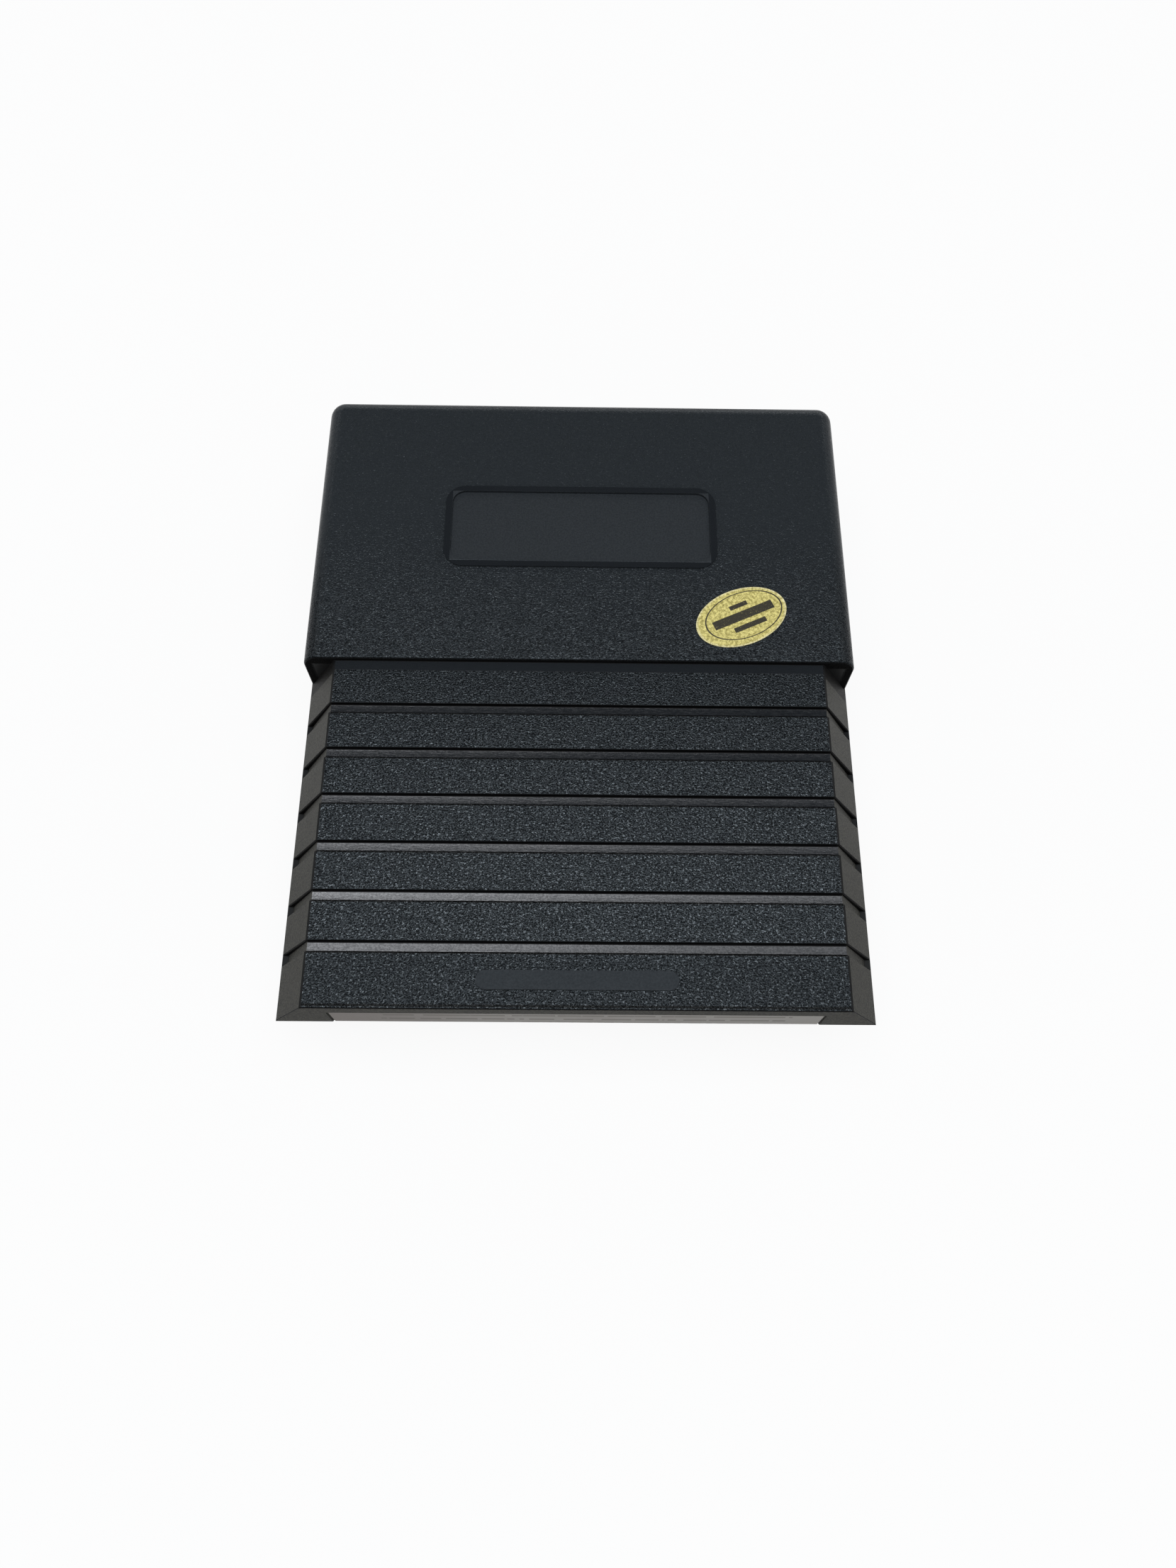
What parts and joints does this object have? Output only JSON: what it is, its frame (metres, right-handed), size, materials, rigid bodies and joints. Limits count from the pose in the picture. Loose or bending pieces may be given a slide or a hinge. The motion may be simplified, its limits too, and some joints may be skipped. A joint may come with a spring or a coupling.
{
  "type": "game cartridge",
  "caption": "Flat plug-in game cartridge: a two-piece snap case with a smooth plug end, a ribbed bevelled grip and an open mouth over the edge contacts of its circuit board.",
  "frame": {"origin": "middle of the case's footprint, on the surface that its front face lies on", "axes": "+X across the width, +Y along the length towards the contact end, +Z out of the back face"},
  "size_m": [0.081, 0.0988, 0.0193],
  "materials": {
    "case_plastic": "black moulded plastic with a fine leather grain, satin in the grooves and on the bevels",
    "label_paper": "matt warm grey-white paper with fine plain print lines",
    "sticker_foil": "gold foil paper, lightly mottled, with a thin dark ring",
    "board_laminate": "glass laminate under green lacquer",
    "contact_gold": "gold-plated copper",
    "chip_epoxy": "matt black moulding compound",
    "tinned_metal": "tinned copper alloy",
    "capacitor_coat": "dipped ochre coating",
    "solder": "bright solder"
  },
  "bodies": {
    "root": {"back_shell": "case_plastic", "front_shell": "case_plastic", "end_label": "label_paper", "inspection_sticker": "sticker_foil", "circuit_board": "board_laminate", "back_contacts": "contact_gold", "front_contacts": "contact_gold", "rom_package": "chip_epoxy", "rom_pins": "tinned_metal", "capacitor": "capacitor_coat", "capacitor_leads": "tinned_metal", "solder_joints": "solder"}
  },
  "joints": []
}
